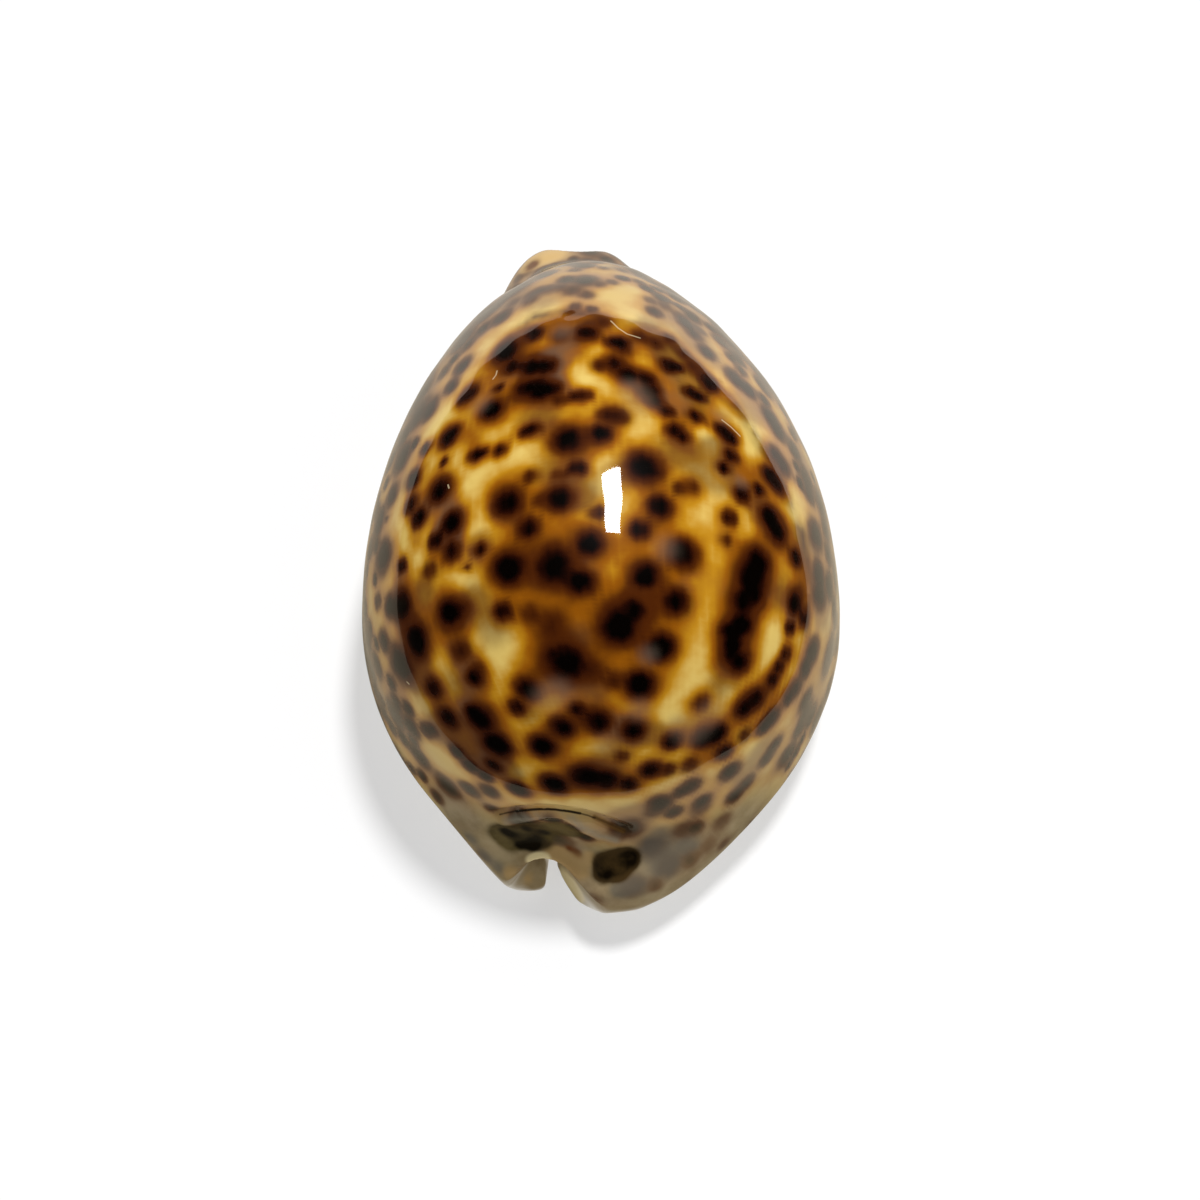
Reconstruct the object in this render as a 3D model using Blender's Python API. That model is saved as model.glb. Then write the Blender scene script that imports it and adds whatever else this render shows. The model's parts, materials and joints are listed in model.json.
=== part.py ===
"""A tiger cowrie shell, resting on its base with the narrow front end pointing to +Y.

The shell is one rolled sheet. Its outer lip, on the +X side, curls in under the body and nearly
meets the inner lip, so a long toothed slit runs along the base. A canal notches each end of the
slit, and a hollow lies above it.

The sheet is lofted from rings. Each ring starts at a point on the line that joins the two canals,
spreads out to the skin of the shell, and is open at the slit. The rings are closed sections of the
wall: outer skin, inner lip, inner skin, outer lip.
"""

import bmesh
import bpy
import numpy as np

MM = 0.001

# Lengths below are in millimetres. The body is a high dome on a lower, wider skirt. The ends of
# each are the reach and the bluntness of its back, then those of its front.
LENGTH = 80.0
WIDEST_Y = -6.4
HALF_WIDTH = 27.4
CROWN = 29.5
MARGIN_HEIGHT = 13.4
DOME_ENDS = (28.0, 0.5, 43.2, 0.66)
CROWN_POWER = 2.05
BASE_POWER = 4.0
BEYOND_END = 1.6
SKIRT_X = 0.3
SKIRT_WIDTH = 26.6
SKIRT_HEIGHT = 9.0
SKIRT_TOP = 9.0
SKIRT_ENDS = (33.0, 0.62, 43.0, 0.82)
SKIRT_FILLET = 4.0
BASE_SAG = 0.9
BASE_SOFTNESS = 0.35

# What the two ends add to the body: centre, radii and fillet of each rounded lobe
END_LOBES = (
    ((0.6, -24.0, 5.0), (11.9, 14.6, 5.4), 7.0),
    ((-2.2, -34.0, 3.6), (3.4, 5.2, 3.8), 3.0),
    ((-8.0, -32.0, 3.4), (3.0, 5.2, 3.4), 3.0),
    ((-6.4, -24.0, 5.0), (9.3, 12.2, 5.2), 4.0),
    ((-5.5, 31.2, 8.0), (6.8, 10.4, 5.4), 2.0),
    ((-0.6, 31.2, 8.0), (6.4, 10.2, 5.6), 2.5),
)
SPIRE_HOLLOW = ((-8.5, -40.0, 12.0), (9.0, 7.0, 4.5))
HOLLOW_FILLET = 3.0

# Changes along the length: how much is added, where it begins, and over what length it grows.
# A length below zero grows towards the back.
LEAN = (-1.1, 5.0, 30.0)
SLIT_X = 3.2
SLIT_TURNS = ((-9.5, -6.0, -30.0), (-6.2, 6.0, 32.0))
CANAL_HEIGHT = 4.4
CANAL_RISES = ((2.6, 27.0, 10.0), (0.8, -25.0, -8.0))
SLIT_GAP = 4.7
GAP_CHANGES = ((1.7, 4.0, 22.0), (-1.9, 29.0, 8.0), (-3.2, -14.0, -16.0))
CANAL_RADIUS = 1.9
CANAL_WIDENING = (1.0, -10.0, 20.0)

# The line of the slit between the canals, which arches up into the hollow
SLIT_BACK_Y = -33.4
SLIT_FRONT_Y = 38.0
ARCH_HEIGHT = 4.8
ARCH_REACH = 34.0
ARCH_POWER = 0.7

# The teeth and lips. The ends are where the canals take over from the toothed slit.
TEETH = 24
TOOTH_HEIGHT = 0.9
TOOTH_FADE = 4.0
GROOVE_SHARE = 0.25
LIP_ROUNDING = 2.3
INNER_LIP_ROUNDING = 1.6
LIP_END_LOSS = 0.5
INNER_LIP_END_LOSS = 0.4
END_ZONE = (29.5, 5.0)

# The columella, a low wall inside along the inner lip where the coil starts
COLUMELLA_RISE = 6.325
COLUMELLA_LEAN = 2.6
COLUMELLA_END_LEAN = 0.3
COLUMELLA_THICKNESS = 1.8
COLUMELLA_FOOT_SHARE = 0.55
COLUMELLA_FOOT_STEP = (-0.6, 0.0, 0.5)

# The wall
DOME_WALL = 2.4
END_WALL = 4.6
FLOOR_THICKNESS = 5.2
CANAL_FILLET = 2.0
FRONT_CANAL_LIFT = 3.4
BACK_CANAL_LIFT = 1.8
CANAL_DROP = 1.9
FOOT_CLEARANCE = 0.4
OUTER_END_NARROWING = 0.45
INNER_END_NARROWING = 0.55
OUTER_LIP_DRAW = 3.2
INNER_LIP_REACH = 1.2
BACK_LIP_FLATTENING = 0.6

# How finely the rings are cut
INNER_SKIN_POINTS = 21
OUTER_SKIN_POINTS = 2 * INNER_SKIN_POINTS - 1
INNER_LIP_POINTS = 7
OUTER_LIP_POINTS = 5
EDGE_SPACING = 1.3
EVEN_FROM = 2.86
END_STEPS = 6
END_STEP = 0.55
FOCUS_SHARE = 1.033
RAY_STEPS = 150
RING_RAYS = 240
FARTHEST_RAY = 1.25
FAIRED_MARGIN = 4
FAIRING_ROUNDS = 4
FAIRING_SHARE = 0.5

SHELL_COLOUR = (0.46, 0.27, 0.09, 1.0)
SHELL_ROUGHNESS = 0.12


def smooth_step(value):
    t = np.clip(value, 0.0, 1.0)
    return t * t * (3.0 - 2.0 * t)


def grown(y, change):
    """How much of a change along the length is reached at y."""
    added, start, length = change
    return added * smooth_step((y - start) / length)


def smooth_union(a, b, reach):
    """The lower of two distances, with a fillet of about that reach where they meet."""
    mix = np.clip(0.5 + 0.5 * (b - a) / reach, 0.0, 1.0)
    return b + (a - b) * mix - reach * mix * (1.0 - mix)


def smooth_cut(a, b, reach):
    """Shape a with shape b taken out of it, with a rounded edge."""
    return -smooth_union(-a, b, reach)


def ellipsoid(x, y, z, centre, radii):
    """About how far a point lies outside an ellipsoid, in millimetres."""
    u = [(value - middle) / radius for value, middle, radius in zip((x, y, z), centre, radii)]
    inner = np.sqrt(sum(part**2 for part in u)) + 1e-9
    steepness = np.sqrt(sum((part / radius) ** 2 for part, radius in zip(u, radii))) + 1e-9
    return inner * (inner - 1.0) / steepness


def share_left(y, back_reach, back_power, front_reach, front_power):
    """How much of the middle section is left at y: 1 at the widest place, 0 where the body ends."""
    behind = y < WIDEST_Y
    t = (y - WIDEST_Y) / np.where(behind, back_reach, front_reach)
    power = 2.0 * np.where(behind, back_power, front_power)
    rest = 1.0 - t**2
    return np.where(rest > 0.0, np.abs(rest) ** power, BEYOND_END * rest)


def egg(x, y, z, half_width, ends, crown, depth, middle_z):
    """About how far a point lies outside an egg with a flattened underside."""
    across = x / half_width
    lift = z - middle_z
    above = np.clip(lift, 0.0, None) / crown
    below = np.clip(-lift, 0.0, None) / depth
    value = across**2 + (1.0 - share_left(y, *ends)) + above**CROWN_POWER + below**BASE_POWER
    return (np.sqrt(value) - 1.0) * half_width


def slit_x(y):
    """The slit bows towards the outer lip, and bends back to the inner side at its ends."""
    return SLIT_X + sum(grown(y, turn) for turn in SLIT_TURNS)


def slit_height(y):
    """Height of the line that the rings start from: low in the canals, high in the hollow."""
    arch = ARCH_HEIGHT * np.clip(1.0 - (y / ARCH_REACH) ** 2, 0.0, 1.0) ** ARCH_POWER
    return CANAL_HEIGHT + arch + sum(grown(y, rise) for rise in CANAL_RISES)


def slit_gap(y):
    """The slit widens behind the front canal, and is narrow at both ends."""
    return SLIT_GAP + sum(grown(y, change) for change in GAP_CHANGES)


def dome(x, y, z, wall=0.0, end_wall=0.0, floor=0.0):
    """The high body of the shell, or the room inside it when walls are taken off."""
    back_reach, back_power, front_reach, front_power = DOME_ENDS
    ends = (back_reach - end_wall, back_power, front_reach - end_wall, front_power)
    depth = MARGIN_HEIGHT + BASE_SAG - floor
    return egg(x, y, z, HALF_WIDTH - wall, ends, CROWN - wall, depth, MARGIN_HEIGHT)


def skirt(x, y, z):
    """The lower, wider part that the dome stands in."""
    depth = SKIRT_HEIGHT + BASE_SAG
    return egg(x - SKIRT_X, y, z, SKIRT_WIDTH, SKIRT_ENDS, SKIRT_TOP, depth, SKIRT_HEIGHT)


def outer_shape(x, y, z):
    across = x - grown(y, LEAN)
    shape = smooth_union(dome(across, y, z), skirt(across, y, z), SKIRT_FILLET)
    for centre, radii, fillet in END_LOBES:
        shape = smooth_union(shape, ellipsoid(x, y, z, centre, radii), fillet)
    return smooth_cut(shape, ellipsoid(x, y, z, *SPIRE_HOLLOW), HOLLOW_FILLET)


def hollow_shape(x, y, z):
    """The room inside the dome, joined to the round bores of the two canals."""
    room = dome(x, y, z, DOME_WALL, END_WALL, FLOOR_THICKNESS)
    radius = CANAL_RADIUS + grown(y, CANAL_WIDENING)
    canal = np.hypot(x - slit_x(y), z - slit_height(y)) - radius
    return smooth_union(room, canal, CANAL_FILLET)


def ring_stations():
    """Where each ring crosses the slit, and how tooth-like it is: 1 on a tooth, -1 between two."""
    back = [SLIT_BACK_Y + END_STEP * step for step in range(END_STEPS)]
    front = [SLIT_FRONT_Y - END_STEP * step for step in range(END_STEPS)][::-1]
    first = back[-1] + END_STEP
    last = front[0] - END_STEP
    count = 2 * TEETH + 1
    toothed = [first + (last - first) * step / (count - 1) for step in range(count)]
    stations = np.array(back + toothed + front)
    waves = np.zeros(len(stations))
    for step in range(count):
        fade = min(1.0, step / TOOTH_FADE, (count - 1 - step) / TOOTH_FADE)
        waves[END_STEPS + step] = (1.0 if step % 2 else -1.0) * fade
    return stations, waves


def ring_curve(shape, station, start_angle, end_angle):
    """Points where rays from one place on the slit line leave the shape, in a ring.

    The rays bend away from the middle of the shell as they spread, so that the rings gather at
    the two canals, as the lines of growth do.
    """
    middle = 0.5 * (SLIT_BACK_Y + SLIT_FRONT_Y)
    focus = 0.5 * (SLIT_FRONT_Y - SLIT_BACK_Y) * FOCUS_SHARE
    cosine = (station - middle) / focus
    sine = np.sqrt(1.0 - cosine**2)
    angles = np.linspace(start_angle, end_angle, RING_RAYS)[:, None]
    reach = np.linspace(0.0, FARTHEST_RAY, RAY_STEPS)[None, :]
    spread = focus * np.sinh(reach) * sine
    x = slit_x(station) + spread * np.cos(angles)
    y = np.repeat(station + focus * (np.cosh(reach) - 1.0) * cosine, RING_RAYS, axis=0)
    z = slit_height(station) + spread * np.sin(angles)
    value = shape(x, y, z)
    after = np.argmax(value > 0.0, axis=1)
    before = after - 1
    rows = np.arange(RING_RAYS)
    share = -value[rows, before] / (value[rows, after] - value[rows, before])
    points = np.stack([x, y, z], axis=-1)
    return points[rows, before] + share[:, None] * (points[rows, after] - points[rows, before])


def spaced(curve, count):
    """The curve cut into evenly spaced points, with two closer ones at each end."""
    lengths = np.concatenate([[0.0], np.cumsum(np.linalg.norm(np.diff(curve, axis=0), axis=1))])
    total = lengths[-1]
    wanted = np.zeros(count)
    wanted[1:-1] = np.linspace(EVEN_FROM, total - EVEN_FROM, count - 2)
    wanted[-1] = total
    wanted[1:3] = EDGE_SPACING, 0.5 * (EDGE_SPACING + wanted[3])
    wanted[-3:-1] = 0.5 * (total - EDGE_SPACING + wanted[-4]), total - EDGE_SPACING
    return np.stack([np.interp(wanted, lengths, curve[:, axis]) for axis in range(3)], axis=1)


def rested(z):
    """The base settled on the ground: flat where it sags below it, and eased in around that."""
    eased = (z + BASE_SOFTNESS) ** 2 / (4.0 * BASE_SOFTNESS)
    return np.where(z < -BASE_SOFTNESS, 0.0, np.where(z > BASE_SOFTNESS, z, eased))


def start_angles(x_offset, drop):
    """The ray angles, right and left of straight down, that meet the floor at that offset."""
    tilt = np.arctan2(x_offset, drop)
    return -0.5 * np.pi + tilt, 1.5 * np.pi - tilt


def lip(bottom, top, toward_slit, bulge, count, wave):
    """Points of a rounded lip from its foot on the base up to the hollow, foot and top left out."""
    turns = np.linspace(-0.5 * np.pi, 0.5 * np.pi, count + 2)[1:-1]
    middle, half = 0.5 * (bottom + top), 0.5 * (top - bottom)
    points = middle + half * np.sin(turns)[:, None]
    points[:, 0] += toward_slit * np.cos(turns) * (bulge + 0.5 * TOOTH_HEIGHT * wave)
    return points


def ring(station, wave):
    """One closed section of the wall, as points in order."""
    zone_start, zone_length = END_ZONE
    from_middle = abs(station - 0.5 * (SLIT_BACK_Y + SLIT_FRONT_Y))
    at_end = smooth_step((from_middle - zone_start) / zone_length)
    centre_z = slit_height(station)
    rounding = LIP_ROUNDING * (1.0 - LIP_END_LOSS * at_end)
    offset = 0.5 * slit_gap(station) + rounding
    at_back = at_end if station < 0.0 else 0.0

    # At the back the outer lip draws aside, and the inner lip reaches across under the canal.
    lift = FRONT_CANAL_LIFT if station > 0.0 else BACK_CANAL_LIFT
    down = centre_z - FOOT_CLEARANCE - lift * at_end
    right, _ = start_angles(offset + OUTER_LIP_DRAW * at_back, down)
    _, left = start_angles(offset - INNER_LIP_REACH * at_back, down)
    outer = spaced(ring_curve(outer_shape, station, right, left), OUTER_SKIN_POINTS)
    outer[:, 2] = rested(outer[:, 2])

    drop = (centre_z - FLOOR_THICKNESS) * (1.0 - at_end) + CANAL_DROP * at_end
    right, _ = start_angles(offset * (1.0 - OUTER_END_NARROWING * at_end), drop)
    wall_offset = (offset + COLUMELLA_THICKNESS) * (1.0 - INNER_END_NARROWING * at_end)
    _, left = start_angles(wall_offset, drop)
    inner = spaced(ring_curve(hollow_shape, station, right, left), INNER_SKIN_POINTS)

    outer_bulge = rounding * (1.0 - BACK_LIP_FLATTENING * at_back)
    outer_lip = lip(outer[0], inner[0], -1.0, outer_bulge, OUTER_LIP_POINTS, wave)

    # The inner lip climbs into the hollow as the columella.
    crest = inner[-1].copy()
    crest[0] += COLUMELLA_LEAN * (1.0 - at_end) + COLUMELLA_END_LEAN * at_end
    crest[2] += COLUMELLA_RISE * (1.0 - at_end)
    bulge = INNER_LIP_ROUNDING * (1.0 - INNER_LIP_END_LOSS * at_end)
    front = lip(outer[-1], crest, 1.0, bulge, INNER_LIP_POINTS - 2, wave)
    back = crest + COLUMELLA_FOOT_SHARE * (inner[-1] - crest)
    back += np.array(COLUMELLA_FOOT_STEP) * (1.0 - at_end)
    inner_lip = np.vstack([front, crest[None, :], back[None, :]])

    # The groove beside each tooth runs a little way out over the base.
    outer[[0, -1], 2] += GROOVE_SHARE * TOOTH_HEIGHT * (1.0 - wave)
    section = np.vstack([outer, inner_lip, inner[::-1], outer_lip[::-1]])
    section[:, 2] = np.maximum(section[:, 2], 0.0)
    return section


def faired(rings):
    """The rings with their outer skin evened out along the shell, away from the lips and ends."""
    weight = np.zeros(rings.shape[:2] + (1,))
    evened = slice(FAIRED_MARGIN, OUTER_SKIN_POINTS - FAIRED_MARGIN)
    weight[FAIRED_MARGIN:-FAIRED_MARGIN, evened] = FAIRING_SHARE
    for _ in range(FAIRING_ROUNDS):
        between = 0.5 * (np.roll(rings, 1, axis=0) + np.roll(rings, -1, axis=0))
        rings = rings + weight * (between - rings)
    return rings


def in_place(rings):
    """The rings at the shell's true length, over the origin and with the base on the ground."""
    low, high = rings.min(axis=(0, 1)), rings.max(axis=(0, 1))
    centre = np.array([0.5 * (low[0] + high[0]), 0.5 * (low[1] + high[1]), low[2]])
    return (rings - centre) * LENGTH / (high[1] - low[1])


def close_end(made, end):
    """The rim of a canal: faces from the outer skin to the inner one, and one at each lip."""
    inner_start = OUTER_SKIN_POINTS + INNER_LIP_POINTS
    outer = end[:OUTER_SKIN_POINTS]
    inner_lip = end[OUTER_SKIN_POINTS:inner_start]
    inner = end[inner_start:inner_start + INNER_SKIN_POINTS][::-1]
    outer_lip = end[inner_start + INNER_SKIN_POINTS:]
    for step in range(INNER_SKIN_POINTS - 1):
        made.faces.new(outer[2 * step:2 * step + 3] + [inner[step + 1], inner[step]])
    made.faces.new([outer[-1]] + inner_lip + [inner[-1]])
    made.faces.new([inner[0]] + outer_lip + [outer[0]])


def shell_mesh():
    stations, waves = ring_stations()
    rings = np.array([ring(station, wave) for station, wave in zip(stations, waves)])
    points = in_place(faired(rings))
    made = bmesh.new()
    rings = [[made.verts.new(point * MM) for point in section] for section in points]
    size = len(rings[0])
    for near, far in zip(rings, rings[1:]):
        for step in range(size):
            after = (step + 1) % size
            made.faces.new((near[step], near[after], far[after], far[step]))
    for end in (rings[0], rings[-1]):
        close_end(made, end)
    bmesh.ops.recalc_face_normals(made, faces=made.faces)
    mesh = bpy.data.meshes.new("shell")
    made.to_mesh(mesh)
    made.free()
    return mesh


def shell_material():
    material = bpy.data.materials.new("polished shell")
    material.use_nodes = True
    surface = material.node_tree.nodes["Principled BSDF"]
    surface.inputs["Base Color"].default_value = SHELL_COLOUR
    surface.inputs["Roughness"].default_value = SHELL_ROUGHNESS
    surface.inputs["Metallic"].default_value = 0.0
    return material


def main():
    for obj in list(bpy.data.objects):
        bpy.data.objects.remove(obj)
    mesh = shell_mesh()
    mesh.materials.append(shell_material())
    mesh.shade_smooth()
    shell = bpy.data.objects.new("shell", mesh)
    bpy.context.scene.collection.objects.link(shell)


main()
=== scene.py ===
# %% [markdown]
# # A tiger cowrie shell
# The shell of a large sea snail, seen from above and from its broad rear end. The animal wraps its
# mantle over the shell while it lives and lays down coat after coat of clear glaze, so the brown
# spots lie at different depths and the back shines like glass.
# This script loads the shell's measured form, gives it a finer skin, paints the spots where they
# lie and lights it as a small object on a sheet of white card.

import bpy
import numpy as np
from math import cos, radians, sin
from mathutils import Matrix, Vector, noise
from mathutils.bvhtree import BVHTree
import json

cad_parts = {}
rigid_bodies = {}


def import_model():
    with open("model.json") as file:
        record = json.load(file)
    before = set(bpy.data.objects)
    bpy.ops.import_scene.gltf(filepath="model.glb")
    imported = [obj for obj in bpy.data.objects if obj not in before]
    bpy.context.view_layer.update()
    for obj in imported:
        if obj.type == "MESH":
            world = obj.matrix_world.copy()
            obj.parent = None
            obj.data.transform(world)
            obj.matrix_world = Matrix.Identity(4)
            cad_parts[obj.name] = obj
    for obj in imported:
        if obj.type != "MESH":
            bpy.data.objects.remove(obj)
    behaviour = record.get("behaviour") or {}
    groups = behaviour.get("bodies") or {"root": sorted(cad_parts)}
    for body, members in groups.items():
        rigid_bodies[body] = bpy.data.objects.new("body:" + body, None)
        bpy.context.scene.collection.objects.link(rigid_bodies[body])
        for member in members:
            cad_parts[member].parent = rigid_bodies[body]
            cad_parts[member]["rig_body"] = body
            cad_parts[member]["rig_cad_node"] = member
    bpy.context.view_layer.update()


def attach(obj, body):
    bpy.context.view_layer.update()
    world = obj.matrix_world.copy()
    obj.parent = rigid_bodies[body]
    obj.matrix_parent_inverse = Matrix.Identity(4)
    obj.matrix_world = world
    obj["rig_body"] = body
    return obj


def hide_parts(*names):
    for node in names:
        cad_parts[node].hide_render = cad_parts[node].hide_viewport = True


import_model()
MM = 0.001

# %% [markdown]
# ## The camera
# A long lens flattens the shell as the picture does. The camera looks down from behind the rear
# end, seventy degrees above the table. It comes first, because the marks on the back are placed
# by looking through it.

# %% Place the camera
PICTURE = 1200
ELEVATION = radians(70.0)
DISTANCE = 0.37606
AIM = Vector((-0.00007, -0.00532, 0.01172))
PIXELS_PER_MM = 8.866
SENSOR_WIDTH = 36.0
NEAREST_SEEN = 10.0 * MM

to_camera = Vector((0.0, -cos(ELEVATION), sin(ELEVATION)))
camera_data = bpy.data.cameras.new("long lens")
camera = bpy.data.objects.new("long lens", camera_data)
bpy.context.scene.collection.objects.link(camera)
camera.location = AIM + to_camera * DISTANCE
camera.rotation_euler = to_camera.to_track_quat("Z", "Y").to_euler()
camera_data.sensor_width = SENSOR_WIDTH
camera_data.lens = SENSOR_WIDTH * DISTANCE / (PICTURE / PIXELS_PER_MM * MM)
camera_data.clip_start = NEAREST_SEEN
bpy.context.scene.camera = camera
print("lens, mm:", round(camera_data.lens, 1))

# %% [markdown]
# ## The skin of the shell
# The measured form is a mesh of loose triangles. A merged copy of it is turned back into quads and
# subdivided, which rounds every facet away. A modifier does this better than modelling by hand,
# because the form stays the one that was measured.

# %% Copy the form and round it
MERGE_DISTANCE = 0.02 * MM
FACE_ANGLE, SHAPE_ANGLE = radians(60), radians(100)
ROUNDING_LEVELS = 2

solid = bpy.data.objects["shell"]


def only(obj):
    """Select one object and nothing else."""
    bpy.ops.object.select_all(action="DESELECT")
    obj.select_set(True)
    bpy.context.view_layer.objects.active = obj


only(solid)
bpy.ops.object.duplicate()
shell = bpy.context.view_layer.objects.active
shell.name = "cowrie_shell"
shell.data.name = "cowrie_shell"
only(shell)
bpy.ops.object.mode_set(mode="EDIT")
bpy.ops.mesh.select_all(action="SELECT")
bpy.ops.mesh.remove_doubles(threshold=MERGE_DISTANCE)
bpy.ops.mesh.tris_convert_to_quads(face_threshold=FACE_ANGLE, shape_threshold=SHAPE_ANGLE)
bpy.ops.mesh.normals_make_consistent(inside=False)
bpy.ops.object.mode_set(mode="OBJECT")
quads = sum(1 for face in shell.data.polygons if len(face.vertices) == 4)
print("faces after merging:", len(shell.data.polygons), "of which quads:", quads)

rounding = shell.modifiers.new("rounding", "SUBSURF")
rounding.levels = ROUNDING_LEVELS
rounding.render_levels = ROUNDING_LEVELS
bpy.ops.object.modifier_apply(modifier="rounding")
bpy.ops.object.shade_smooth()
print("faces after rounding:", len(shell.data.polygons))

# %% [markdown]
# ## Looking at the skin
# What comes next is given as places in the picture. A place in the picture becomes a ray from the
# camera, and the ray finds its place on the shell. Some of it goes on the outside only, so every
# point of the skin is asked whether anything lies further out, or between it and the camera.

# %% Read the skin's points, and look at it through the camera
CENTRE = Vector((0.0, -0.002, 0.012))
STEP_OUT = 0.6 * MM
STEP_TO_CAMERA = 0.4 * MM

count = len(shell.data.vertices)


def read(name):
    """The places or the normals of all points, as rows."""
    values = np.empty(count * 3)
    shell.data.vertices.foreach_get(name, values)
    return values.reshape(-1, 3)


def ray_through(x, y):
    """The direction from the camera through a place in the picture."""
    across = (x - PICTURE / 2) / PIXELS_PER_MM * MM
    up = (PICTURE / 2 - y) / PIXELS_PER_MM * MM
    turn = camera.rotation_euler.to_matrix()
    return (turn @ Vector((across, up, -DISTANCE))).normalized()


def on_shell(x, y):
    """The place on the skin that is seen at a place in the picture, and its normal."""
    place, normal, _, _ = skin.ray_cast(camera.location, ray_through(x, y))
    return place, normal


def is_outside(place):
    """True for the outer skin: nothing lies further out on the same line from the middle."""
    out = (place - CENTRE).normalized()
    return skin.ray_cast(place + out * STEP_OUT, out)[0] is None


def is_seen(place):
    """True where nothing stands between the skin and the camera."""
    sight = (camera.location - place).normalized()
    return skin.ray_cast(place + sight * STEP_TO_CAMERA, sight)[0] is None


points = read("co")
normals = read("normal")
skin = BVHTree.FromObject(shell, bpy.context.evaluated_depsgraph_get())
outside = np.array([is_outside(Vector(point)) or is_seen(Vector(point)) for point in points])
print("points on the outer skin:", int(outside.sum()), "of", count)

# %% [markdown]
# ## Fine relief
# The back isn't as even as an egg. Slow waves a few hundredths of a millimetre high, and about two
# tenths at the front end, make the edges of reflections wander. At the rear end the glaze of the
# back stops at a crease, and a thin ridge runs below it beside the hollow over the canal. A
# sculptor would cut and raise these with a brush. Here each is a path of places in the picture,
# and the skin moves along its normals, by less and less to both sides of the path.

# %% Press the waves, the crease and the ridge into the skin
WAVES = ((0.06 * MM, 7.5 * MM), (0.03 * MM, 3.2 * MM))
FRONT_WAVES = 2.4
FRONT_WAVES_FROM, FRONT_WAVES_FULL = 12.0, 20.0
CREASE = (
    (498, 815), (520, 811), (540, 809), (560, 810), (580, 813), (594, 817), (610, 824), (625, 831),
)
RIDGE = (
    (505, 822), (530, 817), (545, 813), (562, 814), (573, 819), (583, 828), (600, 836), (616, 840),
)
CREASE_DEPTH, CREASE_WIDTH = 0.8 * MM, 0.6 * MM
RIDGE_HEIGHT, RIDGE_WIDTH = 0.45 * MM, 0.8 * MM
FOOT = 0.5 * MM


def ramp(values, start, end):
    """Nothing at the start, one at the end, and straight between the two."""
    return np.clip((values - start) / (end - start), 0.0, 1.0)


def distance_to(path):
    """How far each point of the skin is from a path of straight steps, given in the picture."""
    places = [np.array(on_shell(x, y)[0]) for x, y in path]
    nearest = np.full(count, 1.0)
    for start, end in zip(places, places[1:]):
        step = end - start
        along = np.clip(((points - start) @ step) / (step @ step), 0.0, 1.0)
        gaps = np.linalg.norm(points - start - along[:, None] * step, axis=1)
        nearest = np.minimum(nearest, gaps)
    return nearest


def band(path, width):
    """One along a path, less and less beside it."""
    return np.exp(-((distance_to(path) / width) ** 2))


lift = np.zeros(count)
for height, length in WAVES:
    lift += height * np.array([noise.noise(Vector(point) / length) for point in points])
lift *= 1.0 + FRONT_WAVES * ramp(points[:, 1] / MM, FRONT_WAVES_FROM, FRONT_WAVES_FULL)
lift -= CREASE_DEPTH * band(CREASE, CREASE_WIDTH)
lift += RIDGE_HEIGHT * band(RIDGE, RIDGE_WIDTH)
lift *= outside & (points[:, 2] > FOOT)
shell.data.vertices.foreach_set("co", (points + normals * lift[:, None]).ravel())
shell.data.update()
points = read("co")
normals = read("normal")
skin = BVHTree.FromObject(shell, bpy.context.evaluated_depsgraph_get())
print("relief, mm:", round(lift.min() / MM, 2), "to", round(lift.max() / MM, 2))

# %% [markdown]
# ## Where the spots lie
# Dark spots of pigment, one to four millimetres wide, crowd the back and run together in places.
# An image wrapped round the shell would show them too, but it would blur near by and stretch at
# the sides. So each spot is a round mark, a place in the picture and a radius, both in pixels,
# dropped on the shell by a ray. The small and the faint ones count for less.

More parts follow.
